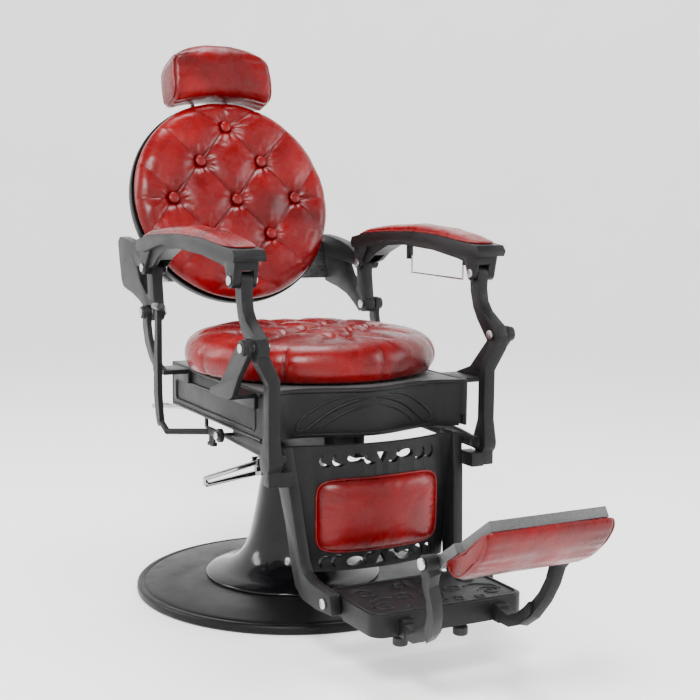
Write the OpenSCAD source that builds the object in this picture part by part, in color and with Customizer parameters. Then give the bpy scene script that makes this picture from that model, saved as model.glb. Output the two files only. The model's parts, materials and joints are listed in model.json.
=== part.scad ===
// Hydraulic barber chair: floor base with pump, swivelling seat frame,
// four-bar reclining back, arms and legs, and a folding foot pad.
// Origin: centre of the floor disc's underside. +Z up, the chair faces -Y.

/* [Base] */
// Radius of the round floor disc
disc_r = 325; // [318:1:340]
// Radius of the gloss bell flange
bell_r = 182; // [176:1:190]
// Radius of the hydraulic piston
piston_r = 40; // [36:1:44]
// Height of the top of the column cover
column_top = 262; // [256:1:264]

/* [Seat] */
// Half width of the seat frame
frame_hw = 215; // [210:1:218]
// Height of the frame's lower edge
frame_z0 = 380; // [378:1:382]
// Height of the frame's top edge
frame_z1 = 470; // [466:1:472]
// Radius of the seat cushion
seat_r = 252; // [244:1:256]
// Thickness of the seat cushion above its board
seat_t = 82; // [70:1:86]

/* [Back] */
// Radius of the round back shell
back_r = 234; // [226:1:234]
// Lean of the back from upright, degrees
back_lean = 19.6; // [18:0.2:21]
// Crown of the back cushion
back_t = 50; // [44:1:56]
// Width of the headrest
head_w = 236; // [210:2:250]

/* [Arms and legs] */
// Radius of the pivot pins at the seat lugs
pivot_r = 6; // [5:0.5:7]
// Radius of the arm pins
arm_pin_r = 5; // [4:0.5:5.5]
// Radius of the open front eye that the arm pin floats in
open_eye_r = 10; // [10:0.5:11]
// Half width of the calf pad
calf_hw = 124; // [110:1:130]
// Half width of the foot platform
plat_hw = 150; // [146:1:152]
// Half width of the foot pad board
fpad_hw = 107; // [104:1:107]

/* [Hidden] */
$fn = 64;
run = 0.05;                     // radial running clearance
A = [-376, 560];                // front pivot, post on seat lug (y, z)
B = [140, 574];                 // rear pivot, bracket on seat lug
C = [-312, 672];                // front arm pin
D = [150, 665];                 // rear arm pin
K = [-378, 356];                // drag link pin on the post
P = [-160, 366];                // drag link guide pin and lever pivot
H = [-768, 266];                // foot pad hinge
seat_c = -75;                   // seat cushion centre, y
back_c = [0, 335, 795];         // back shell centre
fpad_tilt = 34;                 // foot pad slope

// ---------- helpers ----------
// side profile in (y, z) given thickness from x0 to x1
module xplate(p, x0, x1) translate([x0, 0, 0]) rotate([90, 0, 90]) linear_extrude(x1 - x0) polygon(p);
// round bar along X at (y, z)
module xcyl(q, r, x0, x1) translate([x0, q[0], q[1]]) rotate([0, 90, 0]) cylinder(r = r, h = x1 - x0);
module both() { children(); mirror([1, 0, 0]) children(); }
// straight round rod between two points
module rod(p, q, r) {
  d = q - p; L = norm(d);
  translate(p) rotate([0, acos(d[2] / L), atan2(d[1], d[0])]) cylinder(r = r, h = L);
}
module seg(p, q, r) hull() { translate(p) sphere(r, $fn = 24); translate(q) sphere(r, $fn = 24); }
module backframe() translate(back_c) rotate([-back_lean, 0, 0]) children();
module padframe() translate([0, H[0], H[1]]) rotate([-fpad_tilt, 0, 0]) children();
function front_y(x) = abs(x) < 150 ? -329 - 17 * cos(180 * x / 150)
  : -312 - 8.5 * (1 - cos(180 * (abs(x) - 150) / 57));
function arc_y(x, y0, s, h) = y0 - s + (h * h + s * s) / (2 * s) - sqrt(pow((h * h + s * s) / (2 * s), 2) - x * x);
function ell(a, b, n) = [for (i = [0:n - 1]) [a * cos(360 * i / n), b * sin(360 * i / n)]];

// ---------- base ----------
module base_disc() color("#1c1c1e") rotate_extrude($fn = 128) polygon([[0, 0], [disc_r - 4, 0],
  [disc_r, 4], [disc_r, 15], [disc_r - 4, 19], [disc_r - 12, 19], [disc_r - 15, 16.5],
  [disc_r - 18, 19.5], [disc_r - 25, 21], [200, 30], [0, 30]]);
module column_cover() color("#121213") rotate_extrude($fn = 128) polygon([[piston_r + 10.5, 30], [bell_r, 30],
  [bell_r, 35], [bell_r - 6, 39], [bell_r - 26, 44], [134, 53], [114, 67], [101, 86], [92, 110], [85, 140],
  [78, 175], [72, 210], [67, 240], [64, column_top - 3], [61, column_top], [piston_r + 10.5, column_top]]);
module pump_cylinder() color("#8a8c8f") rotate_extrude($fn = 96) polygon([[0, 30], [piston_r + 10.4, 30],
  [piston_r + 10.4, column_top - 6], [piston_r + run, column_top - 6], [piston_r + run, 39], [0, 39]]);
module pump_head() color("#2a2a2c") difference() {
  union() {
    translate([0, 0, column_top]) cylinder(r = 58, h = 16, $fn = 96);
    for (y = [-17, 8.2]) translate([-88, y, column_top]) cube([40, 8.8, 17]);
  }
  translate([0, 0, column_top - 1]) cylinder(r = piston_r + run, h = 30, $fn = 96);
  translate([-76, 20, 270]) rotate([90, 0, 0]) cylinder(r = 4 + run, h = 40);
}
module pump_lever_pin() color("#c9cacc") translate([-76, 17, 270]) rotate([90, 0, 0]) cylinder(r = 4, h = 34);
module pump_lever() color("#dfe1e4") difference() {
  union() {
    translate([-76, 7.8, 270]) rotate([90, 0, 0]) cylinder(r = 9, h = 15.6);
    translate([-88, -7.8, 243]) cube([16, 15.6, 24]);
    translate([0, 4, 0]) rotate([90, 0, 0]) linear_extrude(8) difference() {
      polygon([[-84, 274], [-198, 251], [-201, 246], [-201, 234], [-196, 229.5], [-84, 243]]);
      polygon([[-89, 264], [-190, 243.5], [-192.5, 241], [-190, 238], [-89, 252]]);
    }
  }
  translate([-76, 20, 270]) rotate([90, 0, 0]) cylinder(r = 4 + run, h = 40);
}
// ---------- lift ----------
module pump_piston() color("#d9dbde") translate([0, 0, 60]) cylinder(r = piston_r, h = 224, $fn = 96);
module turntable() color("#19191a") rotate_extrude($fn = 96) polygon([[0, 284], [68, 284], [70, 286],
  [70, 291], [67, 292], [67, 295], [70, 296], [70, 298], [0, 298]]);

// ---------- seat body ----------
module swivel_plate() color("#19191a") difference() {
  rotate_extrude($fn = 96) polygon([[0, 298.3], [72, 298.3], [73, 300], [73, 309], [71, 312], [0, 312]]);
  for (i = [0:3]) rotate(90 * i) translate([64, 0, 290]) cylinder(r = 3.5, h = 30, $fn = 24);
}
module swivel_bolts() color("#3a3a3c") for (i = [0:3]) rotate(90 * i) translate([64, 0, 0]) {
  translate([0, 0, 300]) cylinder(r = 3.5, h = 12.1, $fn = 24);
  translate([0, 0, 312]) cylinder(r = 6.5, h = 5, $fn = 6);
}
module long_beams() color("#1f1f21") both() translate([22, -230, 312]) cube([22, 350, frame_z0 + 4 - 312]);
module cross_beams() color("#1f1f21") for (y = [-175, 60])
  difference() {
    union() {
      translate([-frame_hw + 8, y, frame_z0 + 4]) cube([2 * frame_hw - 16, 30, 20]);
      if (y < 0) both() translate([186, -178, 350]) cube([10, 36, frame_z0 + 10 - 350]);
    }
    if (y < 0) both() xcyl(P, 4, 180, 200);
    if (y > 0) translate([-120, 75, 360]) cylinder(r = 4, h = frame_z0 + 14 - 360);
  }
module guide_pins() color("#c9cacc") {
  both() { xcyl(P, 4, 186, 236); xcyl(P, 8, 236, 240); }
  translate([-120, 75, 361]) cylinder(r = 4, h = frame_z0 + 14 - 361);
  translate([-120, 75, 358]) cylinder(r = 7, h = 3);
}
module frame_front() color("#262628") difference() {
 translate([0, 0, frame_z0]) linear_extrude(frame_z1 - frame_z0) polygon(concat([for (x = [-frame_hw:5:frame_hw]) [x, front_y(x)]],
                 [for (x = [frame_hw:-5:-frame_hw]) [x, front_y(x) + 9]]));
 both() translate([198, -370, frame_z0 - 1]) cube([11, 80, 23]);
}
module frame_sides() color("#262628") both() translate([frame_hw - 8, front_y(frame_hw) + 9, frame_z0])
  cube([8, 131 - front_y(frame_hw) - 9, frame_z1 - frame_z0]);
module frame_rear() color("#262628") translate([-frame_hw, 131, frame_z0]) cube([2 * frame_hw, 8, frame_z1 - frame_z0]);
module seat_deck() color("#8d8e90") translate([0, 0, frame_z1 - 8]) linear_extrude(8)
  polygon(concat([for (x = [-frame_hw + 8:5:frame_hw - 8]) [x, max(front_y(x) + 9.4, front_y(x + 5) + 9.1, front_y(x - 5) + 9.1)]],
                 [[frame_hw - 8, 131], [-frame_hw + 8, 131]]));
module front_ears() color("#232325") both() difference() {
  union() {
    xplate([[-391, 566], [-376, 575], [-360, 573], [-335, 556], [-262, 484], [-214, 468], [-214, 458], [-300, 458],
            [-318, 466], [-345, 505], [-388, 548]], 262, 272);
    xcyl(A, 16, 262, 272); xcyl(A, 14, 271, 280);
    translate([frame_hw, -300, 458]) cube([272 - frame_hw, 86, 9]);
    translate([frame_hw, -300, 438]) cube([6, 86, 25]);
  }
  xcyl(A, pivot_r, 255, 285);
}
module rear_ears() color("#232325") both() difference() {
  union() {
    xplate([[126, 576], [154, 576], [158, 545], [144, 510], [118, 482], [96, 468], [96, 458], [30, 458], [30, 466], [62, 474],
            [98, 497], [120, 524], [128, 550]], 262, 272);
    xcyl(B, 15, 262, 272); xcyl(B, 13, 271, 280);
    translate([frame_hw, 30, 458]) cube([272 - frame_hw, 66, 9]);
    translate([frame_hw, 30, 438]) cube([6, 66, 25]);
  }
  xcyl(B, pivot_r, 255, 285);
}
module pivot_pins() color("#c9cacc") both() {
  for (q = [A, B]) { xcyl(q, pivot_r, 232, 280); xcyl(q, 9, 228.5, 232.6); xcyl(q, 8, 280, 283); }
}
module pivot_spacers() color("#8a8c8f") both() for (q = [A, B]) difference() {
  xcyl(q, 10, 257.4, 261.9); xcyl(q, pivot_r, 250, 270);
}
module seat_board() color("#a9865a") translate([0, seat_c, frame_z1]) cylinder(r = 205, h = 10, $fn = 96);
module seat_cushion() color("#b3161c") translate([0, seat_c, frame_z1]) rotate_extrude($fn = 128) polygon([[0, 10.3],
  [205.5, 10.3], [205.5, 3], [236, 3], [246, 9], [seat_r, 26], [seat_r, 50], [247, 66], [236, 77], [205, seat_t + 2], [0, seat_t + 6]]);
module seat_buttons() color("#9c1016") for (p = [[0, 0], [-73, 60], [73, 60], [-73, -60], [73, -60], [0, 125], [0, -125], [146, 0], [-146, 0]])
  translate([p[0], seat_c + p[1], frame_z1 + seat_t + 6.3]) cylinder(r = 11, h = 4, $fn = 32);
module brake_lever() color("#dfe1e4") difference() {
  union() {
    translate([-120, 75, 361.4]) cylinder(r = 9, h = 12);
    translate([0, 0, 363.4]) linear_extrude(7.2) difference() {
      polygon([[-119, 82], [-186, 168], [-202, 208], [-224, 219], [-240, 196], [-236, 191], [-193, 160], [-127, 75]]);
      polygon([[-194, 170], [-206, 202], [-222, 210], [-231, 197]]);
    }
  }
  translate([-120, 75, 350]) cylinder(r = 4 + run, h = 40);
}
// ---------- recline lever (sitter's right) ----------
module recline_lever() color("#1e1e20") difference() {
  union() {
    xcyl(P, 13, -234, -226);
    translate([-234, P[0], P[1] - 7]) cube([8, 60, 14]);
    seg([-230, -104, 364], [-288, -30, 356], 6);
    seg([-288, -30, 356], [-290, 0, 372], 6);
    xplate([[-10, 367], [0, 362], [10, 366], [18, 384], [27, 424], [26, 470], [20, 540], [17, 591], [3, 591], [3, 540], [4, 470], [3, 424], [-3, 390]], -295, -285);
  }
  xcyl(P, 4 + run, -240, -220);
}
module lever_knob() color("#19191a") translate([-290, 10, 591]) rotate([90, 0, 0]) translate([0, 0, -16])
  linear_extrude(32) polygon([for (i = [0:23]) [9 * cos(15 * i), 7.5 * sin(15 * i) + 7.6]]);
module lever_studs() color("#3a3a3c") for (y = [-128, -114]) {
  translate([-230, y, 346]) cylinder(r = 4, h = 12.9, $fn = 24);
  translate([-230, y, 340]) cylinder(r = 7.5, h = 6, $fn = 6);
}

// ---------- leg frame ----------
module leg_post(m) color("#222224") mirror([m, 0, 0]) difference() {
  union() {
    xplate([[-327, 672], [-326, 642], [-331, 620], [-346, 602], [-370, 588], [-392, 576], [-399, 560], [-397, 545], [-375, 536],
            [-360, 548], [-347, 562], [-326, 584], [-310, 607], [-300, 638], [-297, 672]], 235, 257);
    xcyl(C, 15.2, 235, 257); xcyl(A, 20, 235, 257);
    hull() { translate([235, -395, 535]) cube([22, 24, 12]); translate([212, -392, 494]) cube([22, 22, 8]); }
    translate([212, -392, 396]) cube([22, 22, 100]);
    hull() { translate([212, -392, 392]) cube([22, 22, 8]); xcyl(K, 21, 210, 236); }
    translate([210, -392, 314]) cube([24, 22, 30]);
    xcyl(K, 5, 198.5, 212); xcyl(K, 9, 196, 199.5);
    translate([187, -392, 312]) cube([26, 44, 26]);
  }
  xcyl(C, open_eye_r, 230, 262);
  xcyl(A, pivot_r + run, 230, 262);
}
module leg_post_left() leg_post(1);
module leg_post_right() leg_post(0);
module leg_sides() color("#262628") both() translate([189.5, 0, 372]) rotate([0, 5, 0]) translate([-189.5, 0, -372])
  xplate([[-304, 372], [-351.8, 372], [-368, 300], [-381, 220], [-390, 170], [-402, 152], [-424, 143], [-500, 140], [-505, 104],
          [-440, 98], [-385, 100], [-358, 118], [-348, 160], [-338, 230], [-318, 300]], 168, 189.5);
module leg_panel() color("#262628") difference() {
  translate([0, 0, 140]) linear_extrude(232) polygon(concat(
    [[-189, -350], [-150, -350]], [for (x = [-145:5:145]) [x, arc_y(x, -350, 30, 150)]], [[150, -350], [189, -350],
     [189, -336], [150, -336]], [for (x = [145:-5:-145]) [x, arc_y(x, -336, 30, 150)]], [[-150, -336], [-189, -336]]));
  both() translate([144.1, -500, 100]) rotate([0, 5, 0]) translate([0, 0, -80]) cube([60, 300, 372]);
  // scroll openings, top and bottom rows
  for (z = [346, 158]) translate([0, -300, z]) rotate([90, 0, 0]) {
    s = z > 200 ? 1 : -1;
    translate([0, 0, 0]) linear_extrude(120) polygon([[-11, 10 * s], [11, 10 * s], [0, -11 * s]]);
    for (m = [0, 1]) mirror([m, 0, 0]) {
      translate([52, 2 * s, 0]) linear_extrude(120) polygon(ell(17, 8.5, 24));
      translate([24, 0, 0]) linear_extrude(120) difference() { circle(12.5, $fn = 40); translate([-5, 4 * s]) circle(12, $fn = 40); }
      translate([84, 0, 0]) linear_extrude(120) difference() { circle(13, $fn = 40); translate([-5, 4 * s]) circle(12.5, $fn = 40); }
      translate([108, -1, 0]) linear_extrude(120) difference() { circle(12, $fn = 40); translate([-5, 4 * s]) circle(11.6, $fn = 40); }
    }
  }
}
module calf_pad() color("#b3161c") translate([0, 0, 178]) linear_extrude(131) polygon(concat(
  [for (x = [-calf_hw:4:calf_hw]) [x, arc_y(x, -367, 38, 165)]],
  [for (x = [calf_hw:-4:-calf_hw]) [x, arc_y(x, -350.4, 30, 150)]]));
module platform() color("#2b2b2d") difference() {
  translate([0, 0, 100]) linear_extrude(38) polygon(concat([[-144.1, -452], [-144.1, -508], [-plat_hw, -514], [-plat_hw, -600]],
    [for (a = [180:15:270]) [-plat_hw + 26 + 26 * cos(a), -602 + 26 * sin(a)]],
    [for (a = [270:15:360]) [plat_hw - 26 + 26 * cos(a), -602 + 26 * sin(a)]],
    [[plat_hw, -600], [plat_hw, -514], [144.1, -508], [144.1, -452]]));
  difference() {
    translate([-plat_hw + 14, -616, 90]) cube([2 * plat_hw - 28, 154, 36]);
    for (x = [-61, 61]) translate([x, -559, 80]) cylinder(r = 14, h = 60);
  }
}
module platform_screws() color("#c9cacc") both() {
  xcyl([-478, 121], 9, 168.6, 172.4);
}
module foot_studs() color("#c9cacc") for (x = [-61, 61]) translate([x, -559, 74.2]) cylinder(r = 6, h = 25.8);
module rubber_feet() color("#151515") for (x = [-61, 61]) translate([x, -559, 57]) rotate_extrude() polygon([[0, 0], [12, 0],
  [13.5, 2], [13.5, 14], [11, 17], [0, 17]]);
module pad_arms() color("#19191a") both() difference() {
  union() {
    translate([82, -646, 100]) cube([22, 18, 30]);
    xplate([[-628, 101], [-672, 101], [-706, 116], [-732, 142], [-728, 162], [-716, 150], [-696, 134], [-668, 121], [-628, 129]], 84, 103);
    translate([84, 0, 128]) rotate([0, 16, 0]) translate([-84, 0, -128])
      xplate([[-706, 116], [-732, 138], [-752, 172], [-762, 204], [-764, 232], [-780, 256], [-776, 272], [-756, 272], [-750, 250],
              [-744, 232], [-744, 206], [-736, 180], [-716, 150]], 84, 103);
    xcyl(H, 14, 122, 143);
  }
  xcyl(H, arm_pin_r + run, 100, 160);
}
// ---------- drag links ----------
module drag_link(m) color("#1e1e20") mirror([m, 0, 0]) difference() {
  union() {
    xplate([[K[0], K[1] - 11], [P[0] + 140, P[1] - 10.5], [P[0] + 140, P[1] + 17.5], [K[0] + 60, K[1] + 17.5], [K[0], K[1] + 11]], 200.5, 206.5);
    xcyl(K, 12, 200.5, 206.5);
  }
  xcyl(K, 5 + run, 195, 212);
  xplate([[P[0] - 12, P[1] - 5.6], [P[0] + 130, P[1] - 5.6], [P[0] + 130, P[1] + 12.4], [P[0] - 12, P[1] + 12.4]], 195, 212);
}
module drag_link_left() drag_link(1);
module drag_link_right() drag_link(0);

// ---------- folding foot pad ----------
module footpad_board() color("#8d8e90") difference() {
  union() {
    padframe() translate([-fpad_hw, -152, -9]) cube([2 * fpad_hw, 134, 17]);
    both() { padframe() translate([fpad_hw, -60, -8.8]) cube([11, 60, 16.8]); xcyl(H, 12, fpad_hw, fpad_hw + 11); }
  }
  both() xcyl(H, arm_pin_r, 100, 130);
}
module footpad_cushion() color("#b3161c") padframe() xplate([[-20, -9.4], [-151, -9.4], [-154, -15], [-146, -25], [-120, -37],
  [-75, -45], [-42, -43], [-24, -32], [-18, -18]], -fpad_hw - 10, fpad_hw + 10);
module footpad_pins() color("#c9cacc") both() { xcyl(H, arm_pin_r, fpad_hw + 0.2, 146); xcyl(H, 9.5, 145.2, 149.5); }

// ---------- back ----------
module back_brackets() color("#222224") both() difference() {
  union() {
    xplate([[125, 572], [130, 604], [136, 640], [135.5, 668], [150, 679], [168, 680], [182, 686], [206, 698], [250, 709], [300, 716], [346, 720],
            [360, 708], [352, 672], [338, 626], [326, 613], [300, 608], [267, 603], [217, 590], [182, 572], [158, 556]], 235, 257);
    xcyl(D, 14, 235, 257); xcyl(B, 18, 235, 257);
  }
  xplate([[170, 650], [186, 658], [236, 664], [216, 634], [174, 606], [165, 612]], 230, 262);
  xcyl(D, arm_pin_r + run, 230, 262);
  xcyl(B, pivot_r + run, 230, 262);
}
module back_plate() color("#8a8c8f") backframe() translate([-234.8, 38.2, -172]) cube([469.6, 6, 90]);
module back_shell() color("#1b1b1d") backframe() rotate([90, 0, 0]) rotate_extrude($fn = 128) polygon([[0, -38], [196, -38],
  [222, -33], [231, -22], [back_r, -10], [back_r, 2], [back_r - 4, 2], [back_r - 4, -8], [0, -8]]);
module back_cushion() color("#b3161c") backframe() rotate([90, 0, 0]) rotate_extrude($fn = 128) polygon([[0, -7.7], [229.6, -7.7],
  [229.6, 12], [224, 28], [206, 40], [150, 47], [0, back_t]]);
module back_buttons() color("#9c1016") backframe() for (p = [[0, 169], [-73, 85], [73, 85], [-146, 0], [0, -6], [146, 0], [-73, -85], [73, -85], [0, -169]])
  translate([p[0], -back_t - 0.4, p[1]]) rotate([90, 0, 0]) cylinder(r = 11, h = 4, $fn = 32);
module headrest_guides() color("#1b1b1d") backframe() both() difference() {
  translate([28, 38.2, 60]) cube([24, 26, 110]);
  translate([40, 52, 50]) cylinder(r = 6 + run, h = 140);
}
module headrest_posts() color("#dfe1e4") backframe() {
  both() translate([40, 52, 62]) cylinder(r = 6, h = 246);
  difference() { translate([-48, 43, 308]) cube([96, 18, 20]); translate([-60, 52, 318]) rotate([0, 90, 0]) cylinder(r = 5, h = 120); }
  translate([-60, 52, 318]) rotate([0, 90, 0]) cylinder(r = 5, h = 120);
}
module headrest_bracket() color("#222224") backframe() difference() {
  union() {
    translate([-80, 33.2, 283]) cube([160, 5, 66]);
    both() { translate([49, 38, 304]) cube([8, 14, 28]); translate([49, 52, 318]) rotate([0, 90, 0]) cylinder(r = 14, h = 8); }
  }
  translate([-70, 52, 318]) rotate([0, 90, 0]) cylinder(r = 5 + run, h = 140);
}
module headrest_cushion() color("#b3161c") backframe() xplate([[33, 262], [33, 350], [24, 364], [4, 369], [-24, 368], [-46, 358],
  [-56, 338], [-58, 300], [-54, 268], [-40, 253], [-14, 250], [20, 252]], -head_w / 2, head_w / 2);

// ---------- armrests ----------
module arm_cast(m) mirror([m, 0, 0]) difference() {
  union() {
    xplate([[170, 711], [165, 722], [100, 733], [0, 740], [-100, 744], [-200, 741], [-280, 733], [-341, 727], [-350, 716],
            [-345, 706], [-300, 703], [-255, 706], [-160, 717], [-38, 722], [30, 718], [90, 706], [130, 698], [165, 700]], 219, 281);
    xplate([[134, 705], [84, 712], [30, 720], [-38, 724], [-160, 720], [-255, 710], [-318, 705], [-322, 692], [-290, 690], [-255, 697],
            [-160, 709], [-38, 714], [26, 709], [76, 690], [104, 672], [134, 664]], 233, 267);
    xcyl(C, 14, 227, 273); xplate([[-326, 672], [-334, 705], [-284, 705], [-298, 672]], 227, 273);
    xcyl(D, 14, 227, 273); xplate([[136, 665], [104, 706], [168, 704], [164, 665]], 227, 273);
  }
  translate([234, -352, 640]) cube([23.8, 80, 50]);
  translate([234, 84, 640]) cube([23.8, 100, 46.5]);
  xcyl(C, arm_pin_r, 220, 280);
  xcyl(D, arm_pin_r, 220, 280);
}
module arm_left() color("#222224") arm_cast(1);
module arm_right() color("#222224") arm_cast(0);
module arm_pad(m) color("#a81419") mirror([m, 0, 0]) xplate([[150, 724.9], [100, 733.3], [0, 740.3], [-100, 744.3], [-200, 741.3],
  [-280, 733.3], [-326, 729.2], [-322, 735], [-271, 744], [-197, 754], [-96, 759], [3, 754], [91, 745], [146, 731]], 221, 279);
module arm_pad_left() arm_pad(1);
module arm_pad_right() arm_pad(0);
module arm_pins(m) color("#c9cacc") mirror([m, 0, 0]) for (q = [C, D]) {
  xcyl(q, arm_pin_r, 226.6, 273.4); xcyl(q, 8.5, 273.2, 277); xcyl(q, 8.5, 223, 226.8);
}
module arm_pins_left() arm_pins(1);
module arm_pins_right() arm_pins(0);
module towel_clips() color("#2a2a2c") difference() {
  union() { translate([244, -44, 684]) cube([12, 8, 29.8]); translate([244, -262, 684]) cube([12, 8, 11]); }
  translate([250, 0, 690]) rotate([90, 0, 0]) cylinder(r = 2 + run, h = 300);
}
module towel_rail() color("#dfe1e4") {
  rod([250, -50, 690], [250, -34, 690], 2); rod([250, -248, 690], [250, -264, 690], 2);
  rod([250, -50, 690], [250, -50, 656], 2); rod([250, -248, 690], [250, -248, 656], 2);
  rod([250, -50, 656], [250, -248, 656], 2);
  for (y = [-50, -248]) for (z = [690, 656]) translate([250, y, z]) sphere(2);
}
base_disc();
column_cover();
pump_cylinder();
pump_head();
pump_lever_pin();
pump_lever();
pump_piston();
turntable();
swivel_plate();
swivel_bolts();
long_beams();
cross_beams();
frame_front();
frame_sides();
frame_rear();
seat_deck();
front_ears();
rear_ears();
pivot_pins();
pivot_spacers();
guide_pins();
seat_board();
seat_cushion();
seat_buttons();
brake_lever();
recline_lever();
lever_knob();
lever_studs();
leg_post_left();
leg_post_right();
leg_sides();
leg_panel();
calf_pad();
platform();
platform_screws();
foot_studs();
rubber_feet();
pad_arms();
drag_link_left();
drag_link_right();
footpad_board();
footpad_cushion();
footpad_pins();
back_brackets();
back_plate();
back_shell();
back_cushion();
back_buttons();
headrest_guides();
headrest_posts();
headrest_bracket();
headrest_cushion();
arm_left();
arm_right();
arm_pad_left();
arm_pad_right();
arm_pins_left();
arm_pins_right();
towel_clips();
towel_rail();
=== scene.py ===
import json, math
import bpy, bmesh
import numpy as np
from mathutils import Vector, Matrix, noise


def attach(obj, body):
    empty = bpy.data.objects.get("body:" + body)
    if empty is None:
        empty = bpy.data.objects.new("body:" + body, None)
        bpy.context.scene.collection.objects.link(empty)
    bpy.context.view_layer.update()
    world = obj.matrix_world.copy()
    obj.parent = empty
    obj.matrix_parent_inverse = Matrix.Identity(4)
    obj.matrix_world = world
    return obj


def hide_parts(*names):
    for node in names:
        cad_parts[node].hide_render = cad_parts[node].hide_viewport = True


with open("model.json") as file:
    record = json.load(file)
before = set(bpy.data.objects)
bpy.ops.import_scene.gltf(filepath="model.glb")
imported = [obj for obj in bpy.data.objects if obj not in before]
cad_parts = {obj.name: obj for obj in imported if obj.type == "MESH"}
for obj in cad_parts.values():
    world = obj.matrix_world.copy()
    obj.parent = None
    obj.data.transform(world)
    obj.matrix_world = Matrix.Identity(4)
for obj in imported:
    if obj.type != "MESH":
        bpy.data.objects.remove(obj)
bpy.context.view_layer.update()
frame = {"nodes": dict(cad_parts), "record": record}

NODES = frame["nodes"]
BODY = {n: b for b, ns in frame["record"]["behaviour"]["bodies"].items() for n in ns}
LEAN = math.radians(19.6)

# ------------------------------------------------------------ materials
def mat(name, color, rough=0.5, metal=0.0, coat=0.0, coat_rough=0.1, spec=0.5):
    m = bpy.data.materials.new(name); m.use_nodes = True
    nt = m.node_tree; b = nt.nodes["Principled BSDF"]
    b.inputs["Base Color"].default_value = (*color, 1)
    b.inputs["Roughness"].default_value = rough
    b.inputs["Metallic"].default_value = metal
    b.inputs["Coat Weight"].default_value = coat
    b.inputs["Coat Roughness"].default_value = coat_rough
    b.inputs["Specular IOR Level"].default_value = spec
    return m, nt, b

def noise_tex(nt, scale, detail=3, rough=0.5, dist=0.0, stretch=None):
    tc = nt.nodes.new("ShaderNodeTexCoord"); t = nt.nodes.new("ShaderNodeTexNoise")
    t.inputs["Scale"].default_value = scale; t.inputs["Detail"].default_value = detail
    t.inputs["Roughness"].default_value = rough; t.inputs["Distortion"].default_value = dist
    if stretch:
        mp = nt.nodes.new("ShaderNodeMapping"); mp.inputs["Scale"].default_value = stretch
        nt.links.new(tc.outputs["Object"], mp.inputs["Vector"]); nt.links.new(mp.outputs["Vector"], t.inputs["Vector"])
    else:
        nt.links.new(tc.outputs["Object"], t.inputs["Vector"])
    return t

def ramp(nt, fac, stops):
    r = nt.nodes.new("ShaderNodeValToRGB"); e = r.color_ramp.elements
    while len(e) < len(stops): e.new(0.5)
    for el, (p, c) in zip(e, stops):
        el.position = p; el.color = (*c, 1) if len(c) == 3 else c
    nt.links.new(fac, r.inputs["Fac"]); return r

def grey(v): return (v, v, v)

def bump(nt, b, fac, strength, distance, prev=None):
    bp = nt.nodes.new("ShaderNodeBump")
    bp.inputs["Strength"].default_value = strength; bp.inputs["Distance"].default_value = distance
    nt.links.new(fac, bp.inputs["Height"])
    if prev: nt.links.new(prev.outputs["Normal"], bp.inputs["Normal"])
    nt.links.new(bp.outputs["Normal"], b.inputs["Normal"]); return bp

def powder(name, dark, light, rough, grain=900, amount=0.35, coat=0.0, spec=0.5):
    m, nt, b = mat(name, dark, rough, 0.0, coat, 0.12, spec)
    n1 = noise_tex(nt, grain, 2, 0.6)
    r = ramp(nt, n1.outputs["Fac"], [(0.35, dark), (0.72, light)])
    nt.links.new(r.outputs["Color"], b.inputs["Base Color"])
    n2 = noise_tex(nt, 14, 4, 0.6)
    rr = ramp(nt, n2.outputs["Fac"], [(0.3, grey(rough - 0.06)), (0.75, grey(rough + 0.10))])
    nt.links.new(rr.outputs["Color"], b.inputs["Roughness"])
    b1 = bump(nt, b, n1.outputs["Fac"], amount, 0.0006)
    bump(nt, b, n2.outputs["Fac"], 0.12, 0.002, b1)
    return m

def metal(name, color, rough, brushed=None, wear=0.0):
    m, nt, b = mat(name, color, rough, 1.0)
    n = noise_tex(nt, 60, 4, 0.6, 0, brushed)
    rr = ramp(nt, n.outputs["Fac"], [(0.3, grey(max(0.03, rough - 0.05))), (0.7, grey(rough + 0.09))])
    nt.links.new(rr.outputs["Color"], b.inputs["Roughness"])
    c = ramp(nt, n.outputs["Fac"], [(0.3, tuple(v * 0.86 for v in color)), (0.75, color)])
    nt.links.new(c.outputs["Color"], b.inputs["Base Color"])
    bump(nt, b, n.outputs["Fac"], 0.06, 0.0004)
    return m

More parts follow.
